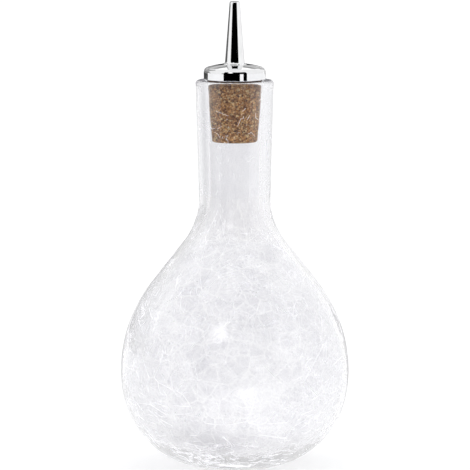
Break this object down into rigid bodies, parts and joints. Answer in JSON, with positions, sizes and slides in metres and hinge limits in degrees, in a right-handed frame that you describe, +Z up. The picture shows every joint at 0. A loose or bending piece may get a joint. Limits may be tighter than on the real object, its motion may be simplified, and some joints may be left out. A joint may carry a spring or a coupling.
{
  "type": "bitters bottle",
  "caption": "Round-bellied crackle glass bitters bottle with a long thick-walled neck, a tapered cork stopper and a chromed dasher head with a slender hollow pouring spout.",
  "frame": {"origin": "on the bottle's axis, on the plane that its foot ring stands on", "axes": "+Z up along the axis, from the foot to the spout's tip; +X and +Y are alike, because the object is round"},
  "size_m": [0.0824, 0.0824, 0.1678],
  "materials": {
    "crackle_glass": "clear, with a net of fine white cracks inside the wall",
    "cork": "agglomerate cork, matt and mottled",
    "polished_chrome": "mirror polished",
    "turned_steel": "fine turned"
  },
  "bodies": {
    "bottle": {"bottle": "crackle_glass"},
    "cork": {"cork_stopper": "cork"},
    "dasher_head": {"dasher_cap": "polished_chrome", "dasher_spout": "polished_chrome", "barbed_stem": "turned_steel"}
  },
  "joints": [
    {"name": "stopper_lift", "type": "slide", "parent": "bottle", "child": "cork", "axis": [0, 0, 1], "range_m": [0, 0.03]},
    {"name": "head_turn", "type": "hinge", "parent": "cork", "child": "dasher_head", "pos_m": [0, 0, 0.1395], "axis": [0, 0, 1], "continuous": true}
  ]
}
